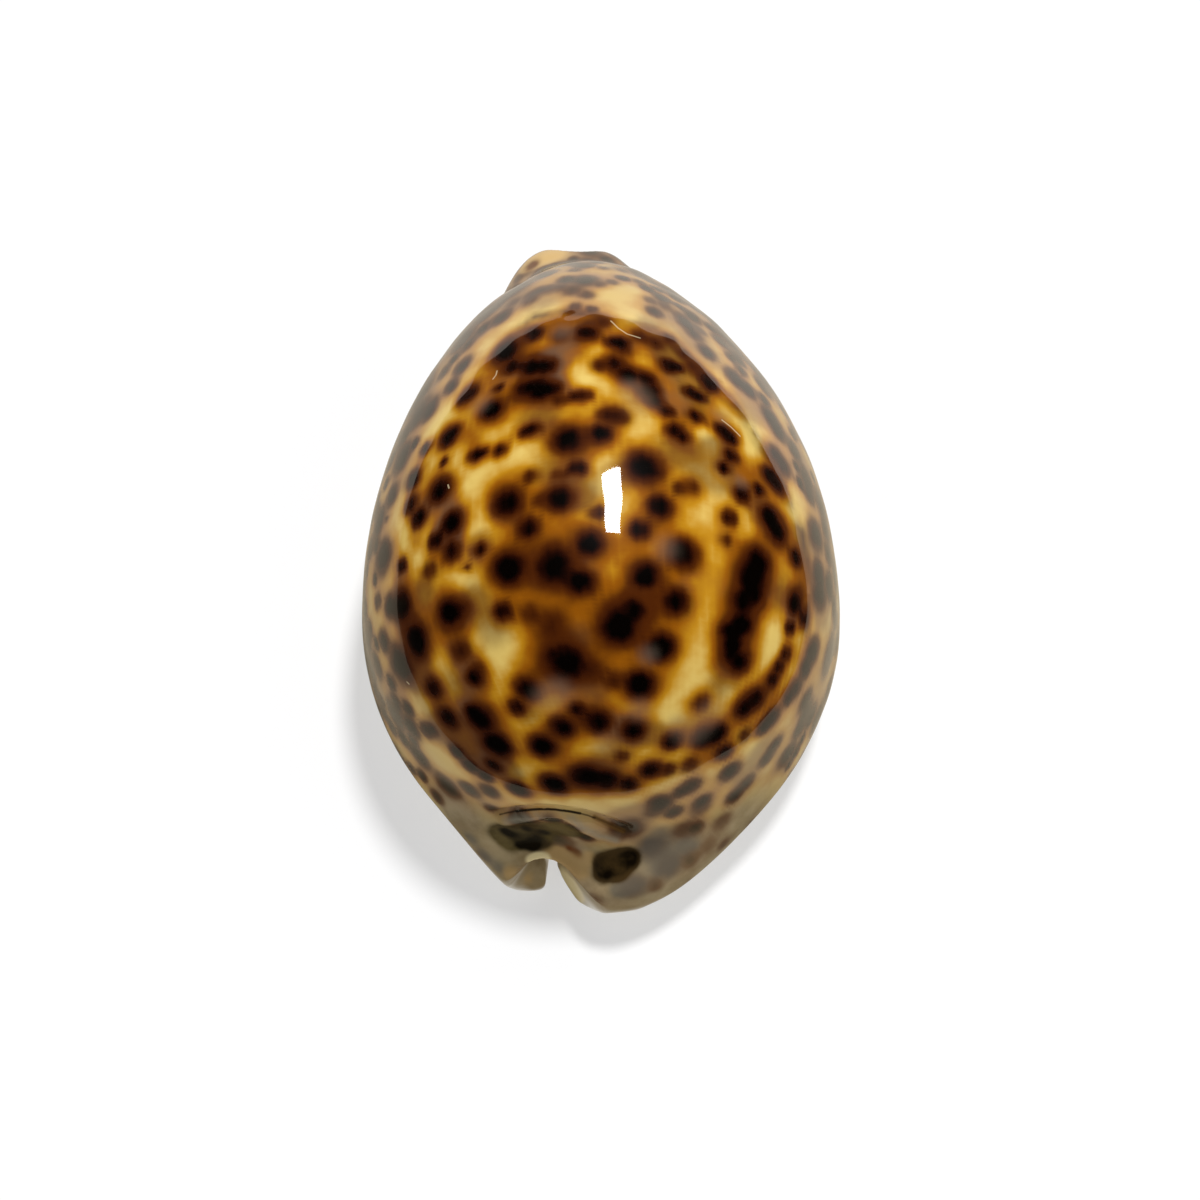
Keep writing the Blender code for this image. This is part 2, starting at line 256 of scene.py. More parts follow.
# %% Read the marks and find them on the shell
MARKS = (
    (507, 350, 13), (512, 366, 9), (533, 334, 9), (584, 333, 8), (591, 333, 8), (612, 342, 6),
    (621, 343, 8), (532, 366, 11), (547, 366, 10), (525, 389, 11), (540, 389, 13), (553, 389, 9),
    (577, 396, 6), (585, 395, 6), (614, 362, 8), (630, 376, 9), (647, 379, 8), (650, 390, 10),
    (655, 401, 8), (669, 366, 9), (679, 368, 6), (690, 392, 8), (700, 397, 7), (706, 379, 9),
    (712, 385, 7), (667, 411, 7), (696, 416, 7), (675, 430, 8), (683, 438, 7), (722, 430, 8),
    (730, 438, 8), (731, 456, 8), (724, 468, 7), (470, 393, 9), (463, 399, 7), (498, 388, 5),
    (492, 410, 11), (526, 432, 6), (534, 428, 6), (500, 450, 6), (475, 455, 7), (484, 452, 4),
    (568, 440, 14), (601, 433, 9), (577, 468, 8), (645, 468, 15), (448, 438, 10), (455, 431, 6),
    (425, 449, 7), (444, 462, 5), (413, 479, 10), (440, 490, 13), (411, 505, 9), (419, 518, 10),
    (452, 523, 12), (436, 541, 9), (452, 551, 10), (388, 518, 4), (402, 566, 7), (508, 502, 14),
    (559, 498, 12), (660, 507, 11), (742, 494, 9), (759, 490, 7), (770, 476, 10), (778, 486, 9),
    (730, 518, 8), (770, 518, 12), (777, 532, 12), (480, 549, 7), (528, 528, 10), (589, 543, 12),
    (640, 530, 9), (684, 555, 13), (796, 558, 9), (509, 568, 16), (554, 566, 18), (581, 582, 12),
    (645, 577, 13), (757, 563, 15), (753, 580, 17), (744, 601, 14), (741, 624, 13), (401, 606, 15),
    (450, 613, 13), (503, 611, 9), (619, 625, 18), (634, 610, 12), (675, 602, 12), (733, 643, 12),
    (730, 655, 10), (740, 662, 11), (755, 598, 9), (727, 630, 8), (795, 603, 11), (790, 628, 7),
    (804, 618, 8), (417, 641, 16), (474, 677, 9), (565, 662, 19), (660, 647, 13), (786, 654, 7),
    (779, 667, 7), (772, 680, 8), (433, 688, 10), (472, 711, 7), (517, 707, 8), (527, 688, 11),
    (577, 710, 8), (641, 684, 13), (756, 699, 10), (745, 707, 11), (772, 718, 10), (764, 727, 9),
    (448, 718, 11), (480, 718, 14), (497, 745, 14), (457, 752, 9), (470, 766, 9), (485, 776, 8),
    (543, 746, 12), (562, 727, 11), (597, 721, 12), (633, 730, 11), (672, 741, 9), (716, 734, 11),
    (703, 738, 10), (724, 752, 9), (432, 730, 8), (493, 765, 9), (518, 789, 10), (554, 784, 12),
    (586, 777, 14), (606, 780, 12), (651, 770, 10), (628, 784, 9), (470, 790, 11), (489, 791, 10),
    (437, 797, 9), (419, 756, 14), (426, 730, 9), (395, 715, 15), (408, 709, 9), (400, 664, 18),
    (377, 666, 12), (384, 641, 11), (390, 606, 11), (383, 557, 16), (392, 495, 12), (391, 460, 12),
    (404, 436, 13), (430, 409, 12), (378, 601, 8), (370, 630, 9), (382, 700, 8), (372, 520, 8),
    (451, 386, 9), (462, 366, 10), (444, 372, 8), (500, 318, 10), (662, 298, 9), (655, 312, 8),
    (686, 323, 10), (694, 334, 9), (707, 352, 9), (722, 342, 10), (740, 354, 9), (735, 378, 11),
    (748, 389, 10), (771, 417, 12), (779, 431, 12), (776, 455, 10), (784, 466, 11), (806, 478, 13),
    (809, 492, 12), (816, 535, 15), (819, 575, 14), (820, 595, 14), (813, 652, 13), (806, 668, 11),
    (796, 689, 10), (789, 698, 8), (806, 713, 12), (800, 728, 11), (775, 745, 10), (767, 758, 10),
    (730, 772, 11), (746, 783, 10), (735, 795, 10), (691, 786, 10), (680, 792, 8), (702, 801, 9),
    (660, 803, 12), (674, 812, 9), (696, 828, 8), (482, 330, 9), (468, 344, 9), (529, 269, 8),
    (520, 276, 7),
)
FAINT_MARKS = (
    (618, 416, 12), (606, 415, 9), (560, 336, 9), (600, 365, 8), (622, 370, 11), (726, 540, 7),
    (553, 627, 16), (530, 614, 11), (592, 671, 13), (615, 681, 10), (530, 477, 8), (559, 475, 7),
    (597, 436, 10), (598, 513, 8), (680, 489, 8), (692, 487, 8), (701, 703, 9), (690, 765, 10),
    (621, 756, 8), (460, 650, 13), (478, 669, 8), (430, 570, 10), (577, 853, 6), (668, 770, 9),
    (462, 608, 12), (690, 862, 8), (560, 400, 8), (465, 568, 4), (745, 735, 9), (540, 500, 7),
    (560, 287, 8), (540, 290, 8), (600, 284, 7), (530, 300, 9), (512, 303, 9), (622, 270, 8),
    (604, 268, 7), (640, 282, 8), (575, 306, 7), (575, 270, 7), (640, 336, 9), (656, 343, 9),
    (670, 339, 8), (682, 353, 8), (694, 367, 9), (624, 350, 8), (603, 322, 8), (708, 388, 7),
    (532, 295, 11), (548, 289, 10), (572, 290, 11), (587, 295, 8), (592, 309, 6), (665, 306, 9),
    (681, 317, 9), (650, 300, 7), (506, 312, 9), (612, 282, 7), (700, 330, 8), (652, 848, 15),
    (668, 866, 14), (634, 887, 13), (684, 830, 14), (722, 822, 12), (708, 845, 11), (655, 812, 12),
    (700, 808, 13), (690, 858, 12), (655, 885, 10),
)
SMALL, LARGE = 5.0, 13.0
WEAKEST, FAINT = 0.72, 0.55


def found(marks, strength):
    """Marks from the picture, each as its place on the shell, its radius and its strength."""
    placed = [(on_shell(x, y)[0], radius) for x, y, radius in marks]
    return [(place, radius / PIXELS_PER_MM * MM, strength) for place, radius in placed
            if place is not None]


spots = []
for mark in MARKS:
    spots += found([mark], WEAKEST + (1.0 - WEAKEST) * float(ramp(mark[2], SMALL, LARGE)))
spots += found(FAINT_MARKS, FAINT)
print("marks placed:", len(spots), "of", len(MARKS + FAINT_MARKS))

# %% [markdown]
# The picture shows only one side. Round the front end, down the flanks and wherever the skin turns
# from the camera, the same kind of spots go on. They are drawn from a fixed seed, each kept
# clear of the ones before it, so that they crowd without piling up, and small ones fill the gaps
# between the large. Low on the flanks they fade, because the base is white.

# %% Add spots where the picture doesn't show any
SEED = 41
FADED_BELOW, FULL_ABOVE = 5.0, 12.0
LOWEST_SPOT = 5.5 * MM
TURNED_AWAY = 0.36
TRIES = 40

draw = np.random.default_rng(SEED)
views = np.array(camera.location) - points
views /= np.linalg.norm(views, axis=1)[:, None]
facing = np.einsum("ij,ij->i", normals, views)


def scatter(allowed, taken, wanted, smallest, largest, spacing):
    """Seeded spots over the allowed points, none closer than the spacing times their radii."""
    centres = [np.array(place) for place, _, _ in taken]
    radii = [radius for _, radius, _ in taken]
    added = []
    for index in draw.permutation(np.flatnonzero(allowed))[:wanted * TRIES]:
        radius = draw.uniform(smallest, largest) * MM
        place = points[index]
        gaps = np.linalg.norm(np.array(centres) - place, axis=1) if centres else np.array([1.0])
        near = spacing * (radius + np.array(radii)) if radii else np.array([0.0])
        if (gaps > near).all():
            centres.append(place)
            radii.append(radius)
            strength = float(ramp(place[2] / MM, FADED_BELOW, FULL_ABOVE))
            added.append((Vector(place), radius, strength))
        if len(added) == wanted:
            break
    return added


high_enough = outside & (points[:, 2] > LOWEST_SPOT)
unseen = high_enough & (facing < TURNED_AWAY)
seen_count = len(spots)
spots += scatter(unseen, spots, wanted=150, smallest=1.1, largest=2.1, spacing=0.92)
spots += scatter(unseen, spots, wanted=160, smallest=0.6, largest=1.0, spacing=1.0)
print("spots drawn from the seed:", len(spots) - seen_count)

# %% [markdown]
# ## Spots as numbers on the skin
# The pigment is thick in the middle of a spot and thins outwards, and near spots melt into one
# another as ink does. So every point of the skin keeps a sum of all spots, each counted as a soft
# bell. A second, wider sum tells how brown the ground between the spots is. The material will
# turn both into colour.

# %% Keep the sums of the spots on the points of the skin
HALF = 0.693
FRONT_STRETCH = 0.6
STRETCH_FROM, STRETCH_FULL = 8.0, 23.0
FAR_ENOUGH = 60.0


def keep(name, values):
    """Store one number per point, for the material to read."""
    layer = shell.data.attributes.new(name, "FLOAT", "POINT")
    layer.data.foreach_set("value", np.ascontiguousarray(values, dtype=np.float32))
    print(name, "from", round(float(values.min()), 2), "to", round(float(values.max()), 2))


def sum_of(marks, spread, power=1.0):
    """The marks added up, each a soft bell that is half as strong at its radius.

    A power above one keeps near marks apart, because the strongest one counts for more. Towards
    the front end the marks are drawn out along the shell.
    """
    total = np.zeros(count)
    for place, radius, strength in marks:
        gaps = points - np.array(place)
        gaps[:, 1] /= 1.0 + FRONT_STRETCH * ramp(place[1] / MM, STRETCH_FROM, STRETCH_FULL)
        far = (gaps ** 2).sum(axis=1) / (radius * spread) ** 2
        total += (strength * np.exp(-HALF * np.minimum(far, FAR_ENOUGH))) ** power
    return total ** (1.0 / power) * outside


keep("ink", sum_of(spots, spread=1.0, power=3.0))
WARM_MARKS = (
    (640, 332, 15), (600, 322, 12), (668, 347, 13), (560, 348, 10), (690, 352, 12), (690, 372, 12),
    (700, 412, 12), (684, 408, 12), (560, 322, 12), (690, 450, 10), (500, 378, 12), (575, 345, 10),
    (735, 400, 10), (745, 470, 12), (415, 545, 8), (800, 590, 10), (470, 440, 10),
)
keep("haze", sum_of(spots + found(WARM_MARKS, strength=0.5), spread=1.7, power=2.0))

# %% [markdown]
# Under the dark spots lie older ones, veiled by glaze and blurred to brown or lilac. They are
# larger and fainter. Then there is the line where the two flaps of the mantle met: a ragged, pale
# gold streak along the back, right of the middle.

# %% Add the veiled spots and the mantle line
MANTLE_LINE = (
    (640, 300), (655, 330), (690, 380), (708, 430), (720, 480), (716, 540), (705, 600), (690, 650),
    (672, 700), (652, 740), (630, 790),
)
LINE_WIDTH = 2.1 * MM

veiled = scatter(high_enough, [], wanted=110, smallest=1.8, largest=3.2, spacing=0.62)
keep("veil", sum_of(veiled, spread=1.0))
keep("mantle line", band(MANTLE_LINE, LINE_WIDTH) * outside)

# %% [markdown]
# ## Ends and margins
# The glaze is thickest at the two ends, where it hides the spots under cream, olive, slate and
# tan. The beak at the front is the colour of honey, and a dark patch lies beside the rear canal.
# These zones have no outline of their own in the mesh, so they come as soft marks too.

# %% Mark the zones of other colours
ZONE_LIMIT = 1.5
ZONES = {
    "slate": ((652, 850, 16), (668, 868, 14), (636, 888, 13), (660, 832, 12), (618, 892, 9),
              (690, 845, 12), (470, 838, 9), (484, 856, 9), (498, 868, 8)),
    "olive": ((500, 832, 12), (513, 832, 14), (530, 831, 15), (548, 829, 14), (562, 828, 12),
              (573, 832, 9), (514, 843, 11), (541, 841, 11)),
    # The shade zone is painted shade: near-black laid in the hollow over the canal, below the crease.
    "shade": ((535, 838, 11), (533, 846, 7), (516, 836, 9), (505, 830, 7), (520, 845, 6),
              (526, 828, 7), (545, 832, 7)),
    "patch": ((604, 866, 12), (600, 876, 8), (614, 864, 12), (626, 855, 10), (631, 860, 8),
              (618, 872, 8)),
    "pit": ((604, 864, 8), (629, 858, 9), (603, 873, 7), (618, 868, 6)),
    "tan": ((565, 860, 12), (578, 868, 12), (590, 858, 8), (552, 853, 7), (572, 880, 10),
            (512, 873, 9), (528, 879, 7)),
    # The cream zone is the pale lip of the canal, with a painted highlight laid along its ridge.
    "cream": ((545, 858, 6), (553, 863, 8), (559, 870, 9), (565, 879, 10), (571, 888, 10),
              (579, 896, 9), (537, 858, 5), (530, 860, 5)),
    "lilac": ((642, 404, 16), (630, 388, 12), (666, 548, 13), (722, 416, 10), (741, 482, 8),
              (648, 655, 10), (640, 710, 12), (712, 712, 15), (692, 735, 16), (676, 724, 10),
              (562, 332, 11), (480, 405, 12), (545, 700, 14), (560, 690, 12), (604, 745, 12),
              (516, 281, 8)),
    "honey": ((556, 253, 14), (540, 258, 14), (527, 265, 9)),
    "rust": ((528, 267, 8), (534, 265, 6), (577, 852, 7), (569, 848, 4)),
}
for name, marks in ZONES.items():
    keep(name, np.minimum(sum_of(found(marks, strength=1.0), spread=1.0), ZONE_LIMIT))

# %% [markdown]
# ## The dark reflection on the back and the painted wash at the rim
# Over the back the gloss mirrors the dim room, so the colours look deep. Beyond a wavy line it
# mirrors the white card, and towards the margins the colours are also washed pale in the colour
# itself, as painted reflection. The line is an outline in the picture. Points of the skin are looked
# up in it, and outside it their distance from the line says how thick the painted wash is.

# %% Tell the dark reflection on the back from the painted wash at the rim
# The outline of the dark reflection of the room. Past it the gloss mirrors the white card.
DARK_REFLECTION_OUTLINE = (
    (505, 341), (534, 316), (568, 311), (611, 319), (655, 328), (679, 350), (718, 384), (752, 428),
    (776, 471), (800, 520), (808, 559), (808, 627), (791, 685), (767, 723), (728, 757), (679, 765),
    (640, 791), (582, 795), (524, 794), (485, 772), (447, 738), (413, 680), (401, 622), (398, 539),
    (410, 491), (432, 433), (466, 384),
)
LOWEST_RIGHT = (808, 627)
REFLECTION_WASH_REACH, REFLECTION_WASH_SHAPE = 8.0 * MM, 0.7
FACING_CAMERA = 0.3
REFLECTION_EDGE_WIDTH, REFLECTION_EDGE_REACH = 1.3 * MM, 0.25
RIDGE_LINE_WIDTH = 0.45 * MM


def in_picture(places):
    """Where points of the skin are seen in the picture."""
    seen = (places - np.array(camera.location)) @ np.array(camera.rotation_euler.to_matrix())
    scale = DISTANCE * PIXELS_PER_MM / MM / -seen[:, 2]
    return PICTURE / 2 + seen[:, 0] * scale, PICTURE / 2 - seen[:, 1] * scale


def within(outline, x, y):
    """True for places in the picture that lie inside a closed outline."""
    inside = np.zeros(len(x), dtype=bool)
    for (x1, y1), (x2, y2) in zip(outline, outline[1:] + outline[:1]):
        crossed = (y1 > y) != (y2 > y)
        inside ^= crossed & (x < x1 + (x2 - x1) * (y - y1) / (y2 - y1 if y2 != y1 else 1.0))
    return inside


# Past the outline, the painted reflection wash thickens with the distance from it.
past_reflection_line = ramp(distance_to(DARK_REFLECTION_OUTLINE + DARK_REFLECTION_OUTLINE[:1]), 0.0, REFLECTION_WASH_REACH) ** REFLECTION_WASH_SHAPE
past_reflection_line[within(DARK_REFLECTION_OUTLINE, *in_picture(points)) & (facing > FACING_CAMERA)] = 0.0
print("share of the skin inside the clear back:", round(float((past_reflection_line == 0.0).mean()), 3))

# A brown band is painted along the top and the right of the outline, mostly on its dark side. It is a
# painted reflection edge, where the mirrored card begins.
reflection_edge_line = DARK_REFLECTION_OUTLINE[:DARK_REFLECTION_OUTLINE.index(LOWEST_RIGHT) + 1]
keep("edge", band(reflection_edge_line, REFLECTION_EDGE_WIDTH) * ramp(past_reflection_line, REFLECTION_EDGE_REACH, 0.0) * outside)
keep("ridge", band(RIDGE, RIDGE_LINE_WIDTH) * outside)
keep("rim", past_reflection_line * outside)

# %% Mask the callus of the ends and low margins by their height, and the painted reflection wash of the flanks by the outline
REAR_VEIL, FRONT_VEIL, LOW_VEIL, FLANK_REFLECTION_WASH = 0.6, 0.4, 0.7, 0.27

heights = points[:, 2] / MM
lengthwise = points[:, 1] / MM
rear = ramp(heights, 17.0, 12.0) * ramp(lengthwise, -24.0, -30.0)
front = ramp(heights, 15.0, 10.0) * ramp(lengthwise, 30.0, 35.0)
low = ramp(heights, 12.0, 5.0)
# The flank share is painted reflection of the white card, past the outline of the dark reflection. The
# other shares are the callus of the ends and the low margins.
veils = (REAR_VEIL * rear, FRONT_VEIL * front, LOW_VEIL * low, FLANK_REFLECTION_WASH * past_reflection_line)
keep("rear", rear * outside)
keep("callus", np.maximum.reduce(veils) * outside)

# %% [markdown]
# ## The white base
# The base, the lips of the slit and the inside are white. A point counts as base when it lies low
# and its skin faces sideways or down. Points on the inside are all white. That mask has hard,
# jagged edges along the canals, so it is evened out over the mesh, each point with its neighbours.

# %% Mask the base and soften the mask
SOFTENING_ROUNDS = 6

upwards = normals[:, 2]
base = ramp(heights, 9.0, 3.0) * ramp(upwards, 0.75, -0.25)
base = np.maximum(base, ramp(upwards, -0.35, -0.75))
base = np.where(outside, base, 1.0)
edges = np.empty(len(shell.data.edges) * 2, dtype=np.int64)
shell.data.edges.foreach_get("vertices", edges)
one, other = edges.reshape(-1, 2).T
shared = np.bincount(one, minlength=count) + np.bincount(other, minlength=count)
for _ in range(SOFTENING_ROUNDS):
    around = np.bincount(one, base[other], count) + np.bincount(other, base[one], count)
    base = 0.5 * (base + around / shared)
keep("base", base)

# %% [markdown]
# ## The glazed colour
# Cream shows only in the gaps between spots. Towards each spot the colour runs through amber and
# brown to nearly black. So one material reads the sums and picks the colour by how strong they
# are. Building it from nodes is long work in code, so a few short helpers come first: one that
# reads a stored number, one for a soft step, one for noise, and one that lays a colour over
# another, as a painter lays washes.

# %% Small helpers for a material
def linear(code):
    """A colour given as hexadecimal, as light."""
    parts = [int(code[i:i + 2], 16) / 255 for i in (0, 2, 4)]
    light = [p / 12.92 if p <= 0.04045 else ((p + 0.055) / 1.055) ** 2.4 for p in parts]
    return (*light, 1.0)


class Wires:
    """Places nodes in one material or group, and joins them."""

    def __init__(self, tree):
        self.tree = tree

    def add(self, kind, **values):
        """A new node with its settings."""
        made = self.tree.nodes.new(kind)
        for name, value in values.items():
            setattr(made, name, value)
        return made

    def feed(self, socket, value):
        """Join a socket to an output, or set it to a number or a colour."""
        if isinstance(value, bpy.types.NodeSocket):
            self.tree.links.new(value, socket)
        elif isinstance(value, str):
            socket.default_value = linear(value)
        else:
            socket.default_value = value

    def stored(self, name):
        """A number that the points of the skin keep."""
        return self.add("ShaderNodeAttribute", attribute_name=name).outputs["Fac"]

    def step(self, value, low, high, bottom=0.0, top=1.0):
        """A soft step from the bottom to the top, as the value goes from low to high."""
        made = self.add("ShaderNodeMapRange", interpolation_type="SMOOTHSTEP")
        for socket, item in zip(made.inputs, (value, low, high, bottom, top)):
            self.feed(socket, item)
        return made.outputs["Result"]

    def math(self, operation, first, second=0.0):
        """Two numbers made one."""
        made = self.add("ShaderNodeMath", operation=operation)
        self.feed(made.inputs[0], first)
        self.feed(made.inputs[1], second)
        return made.outputs[0]

    def vector(self, operation, first, second=(0.0, 0.0, 0.0)):
        """Two vectors made one, or made a number."""
        made = self.add("ShaderNodeVectorMath", operation=operation)
        self.feed(made.inputs[0], first)
        self.feed(made.inputs[1], second)
        return made.outputs["Value" if operation in ("DOT_PRODUCT", "LENGTH") else "Vector"]

    def scaled(self, vector, factor):
        """A vector, or a colour, made longer or shorter."""
        made = self.add("ShaderNodeVectorMath", operation="SCALE")
        self.feed(made.inputs[0], vector)
        self.feed(made.inputs["Scale"], factor)
        return made.outputs["Vector"]

    def lay(self, under, over, mask, share=1.0):
        """A colour laid over another where the mask says, and never thicker than the share."""
        made = self.add("ShaderNodeMix", data_type="RGBA")
        self.feed(made.inputs[0], mask if share == 1.0 else self.math("MULTIPLY", mask, share))
        self.feed(made.inputs[6], under)
        self.feed(made.inputs[7], over)
        return made.outputs[2]

    def noise(self, where, waves, detail=2.0, rough=0.5):
        """Noise with so many waves to the metre."""
        made = self.add("ShaderNodeTexNoise")
        for name, value in (("Vector", where), ("Scale", waves), ("Detail", detail), ("Roughness", rough)):
            self.feed(made.inputs[name], value)
        return made.outputs["Fac"]


print("helpers for a material:", [name for name in vars(Wires) if not name.startswith("_")])

# %% [markdown]
# Some lines are finer than the points of the skin lie apart: the crease at the rear end, and a few
# scratches. A small node group draws them. It measures how far a place is from a straight step,
# so the line stays sharp however near the camera comes.

# %% Build the stroke group
SOLID_SHARE = 0.3


def stroke_group():
    """A node group that is one on a straight step and fades to nothing at a given width."""
    group = bpy.data.node_groups.new("stroke", "ShaderNodeTree")
    for name, kind in (("Where", "Vector"), ("Start", "Vector"), ("End", "Vector"), ("Width", "Float")):
        group.interface.new_socket(name, in_out="INPUT", socket_type="NodeSocket" + kind)
    group.interface.new_socket("Share", in_out="OUTPUT", socket_type="NodeSocketFloat")
    inner = Wires(group)
    given = inner.add("NodeGroupInput").outputs
    reach = inner.vector("SUBTRACT", given["Where"], given["Start"])
    step = inner.vector("SUBTRACT", given["End"], given["Start"])
    dots = [inner.vector("DOT_PRODUCT", one_way, step) for one_way in (reach, step)]
    along = inner.math("DIVIDE", *dots)
    along = inner.math("MINIMUM", inner.math("MAXIMUM", along, 0.0), 1.0)
    far = inner.vector("LENGTH", inner.vector("SUBTRACT", reach, inner.scaled(step, along)))
    solid_width = inner.math("MULTIPLY", given["Width"], SOLID_SHARE)
    share = inner.step(far, solid_width, given["Width"], 1.0, 0.0)
    inner.feed(inner.add("NodeGroupOutput").inputs["Share"], share)
    return group


STROKE = stroke_group()
print("nodes in the stroke group:", len(STROKE.nodes))

# %% [markdown]
# Noise stands between the sums and the colours. It frays the rim of each spot, and lets the
# ground between the spots drift from paler to browner. Spots thin out on the honey-coloured beak,
# and a little past the outline of the dark reflection, as part of the painted reflection wash.

# %% Read the sums and fray them
FRAY_WAVES, DRIFT_WAVES = 380.0, 170.0
FRAY_LEAST, FRAY_MOST = 0.84, 1.14
DRIFT_SIZE, VEIL_DRIFT = 0.9, 0.7
INK_ON_HONEY, INK_AT_RIM, HAZE_AT_RIM = 0.1, 0.92, 0.68

glaze = bpy.data.materials.new("glazed shell")
glaze.use_nodes = True
wires = Wires(glaze.node_tree)
surface = glaze.node_tree.nodes["Principled BSDF"]
where = wires.add("ShaderNodeTexCoord").outputs["Object"]

fray = wires.step(wires.noise(where, FRAY_WAVES), 0.25, 0.75, FRAY_LEAST, FRAY_MOST)
ink = wires.math("MULTIPLY", wires.stored("ink"), fray)
ink = wires.math("MULTIPLY", ink, wires.step(wires.stored("honey"), 0.0, 0.9, 1.0, INK_ON_HONEY))
# Past the outline of the dark reflection, the spots and the haze thin a little. This is part of the
# painted reflection wash.
ink = wires.math("MULTIPLY", ink, wires.step(wires.stored("rim"), 0.0, 0.4, 1.0, INK_AT_RIM))
drift = wires.math("SUBTRACT", wires.noise(where, DRIFT_WAVES, 3.0), 0.5)
drift = wires.math("MULTIPLY", drift, DRIFT_SIZE)
thinning = wires.step(wires.stored("rim"), 0.0, 0.4, 1.0, HAZE_AT_RIM)
haze = wires.math("ADD", wires.math("MULTIPLY", wires.stored("haze"), thinning), drift)
veil = wires.math("ADD", wires.stored("veil"), wires.math("MULTIPLY", drift, VEIL_DRIFT))
print("numbers read from the skin:", len(shell.data.attributes))

# %% [markdown]
# The ground is cream where no spot is near, then straw, amber and umber as the haze thickens. Over
# it go the older, veiled spots, some milky lilac clouds, the gold line, the honey of the beak, a pale
# tan painted reflection of the white card past the outline of the dark reflection, and at the rear
# end a cloudy grey-green. Along that outline a brown band is painted, as a painted reflection edge.

# %% Mix the ground between the spots
CREAM, STRAW, AMBER, UMBER = "DABB66", "BA8416", "905204", "4A1F02"
SMOKE, LILAC, GOLD, HONEY = "54341C", "75614F", "C48E26", "DDB568"
REFLECTION_WASH_TAN, REAR_DARK, REAR_PALE, REFLECTION_EDGE_BROWN = "C4A272", "5A5240", "958B72", "3E1A04"
MILK_WAVES, CLOUD_WAVES, REFLECTION_EDGE_WAVES = 95.0, 200.0, 240.0

ground = CREAM
for over, least, most in ((STRAW, 0.05, 0.38), (AMBER, 0.28, 0.6), (UMBER, 0.5, 1.0)):
    ground = wires.lay(ground, over, wires.step(haze, least, most))
ground = wires.lay(ground, SMOKE, wires.step(veil, 0.45, 1.1), 0.62)
milky = wires.step(wires.noise(where, MILK_WAVES), 0.52, 0.72)
milky = wires.math("MULTIPLY", milky, wires.step(haze, 0.3, 0.9))
ground = wires.lay(ground, LILAC, milky, 0.5)
gold = wires.math("MULTIPLY", wires.stored("mantle line"), wires.step(drift, -0.1, 0.2))
ground = wires.lay(ground, GOLD, gold, 0.35)
ground = wires.lay(ground, HONEY, wires.step(wires.stored("honey"), 0.0, 1.1), 0.9)
# A pale tan is laid past the outline of the dark reflection, as painted reflection of the white card.
ground = wires.lay(ground, REFLECTION_WASH_TAN, wires.step(wires.stored("rim"), 0.0, 0.5), 0.35)
clouds = wires.step(wires.noise(where, CLOUD_WAVES, 4.0, 0.6), 0.3, 0.7)
ground = wires.lay(ground, wires.lay(REAR_DARK, REAR_PALE, clouds), wires.stored("rear"), 0.8)
# Noise breaks up the painted reflection edge along the outline.
reflection_edge_noise = wires.step(wires.noise(where, REFLECTION_EDGE_WAVES), 0.3, 0.65, 0.2, 0.9)
ground = wires.lay(ground, REFLECTION_EDGE_BROWN, wires.math("MULTIPLY", wires.stored("edge"), reflection_edge_noise))
print("nodes for the ground:", len(glaze.node_tree.nodes))

# %% [markdown]
# Each spot is umber at its rim, then red-brown, and nearly black in the middle, as thick pigment
# is. At the ends and the low margins a milky callus lies over the spots as well. On the flanks the
# same pale colour is painted reflection of the white card. Both lie a little less over the darkest,
# which still show through.

# %% Lay the spots, the milky callus and the painted reflection wash over the ground
RUST, BLACK, CALLUS_AND_REFLECTION_PALE = "2A0A01", "040100", "937C58"
GLAZE_WAVES = 150.0

colour = wires.lay(ground, UMBER, wires.step(ink, 0.06, 0.44), 0.92)
colour = wires.lay(colour, RUST, wires.step(ink, 0.3, 0.68))
colour = wires.lay(colour, BLACK, wires.step(ink, 0.5, 0.88))
callus_and_wash_noise = wires.step(wires.noise(where, GLAZE_WAVES, 3.0), 0.3, 0.7, 0.38, 0.7)
# One pale colour serves for the milky callus of the ends and low margins, and for the painted reflection
# of the white card on the flanks.
glazed = wires.math("MULTIPLY", wires.stored("callus"), callus_and_wash_noise)
glazed = wires.math("MULTIPLY", glazed, wires.step(ink, 0.4, 1.0, 1.0, 0.7))
colour = wires.lay(colour, CALLUS_AND_REFLECTION_PALE, glazed)
print("nodes with the spots:", len(glaze.node_tree.nodes))

# %% [markdown]
# At the ends each zone gets its own colour, but the shade zone is painted shade in the hollow over
# the canal, and the cream zone also holds a painted highlight along the canal's ridge. The zones are
# soft marks, so noise makes their edges ragged. One row of a table says which mark, from where to
# where it fades in, how thick it lies at most, and its colour.

# %% Lay the zones at the ends
RAGGED_WAVES = 260.0
LILAC_VEIL, PIT = "766454", "0E0802"
ZONE_COLOURS = (
    ("slate", 0.1, 1.0, 0.68, "59564D"), ("tan", 0.15, 0.9, 0.75, "AC8C58"),
    ("olive", 0.2, 0.9, 0.9, wires.lay("2A1F09", "54461F", clouds)),
    ("shade", 0.3, 1.2, 1.0, "150F04"), ("cream", 0.2, 0.9, 1.0, "D0BE8E"),
    ("patch", 0.2, 0.9, 0.95, "38270C"),
)
ragged = wires.step(wires.noise(where, RAGGED_WAVES, 3.0), 0.3, 0.7, 0.72, 1.2)


def zone(name, low, high):
    """The soft mask of a zone, with a ragged edge."""
    return wires.step(wires.math("MULTIPLY", wires.stored(name), ragged), low, high)


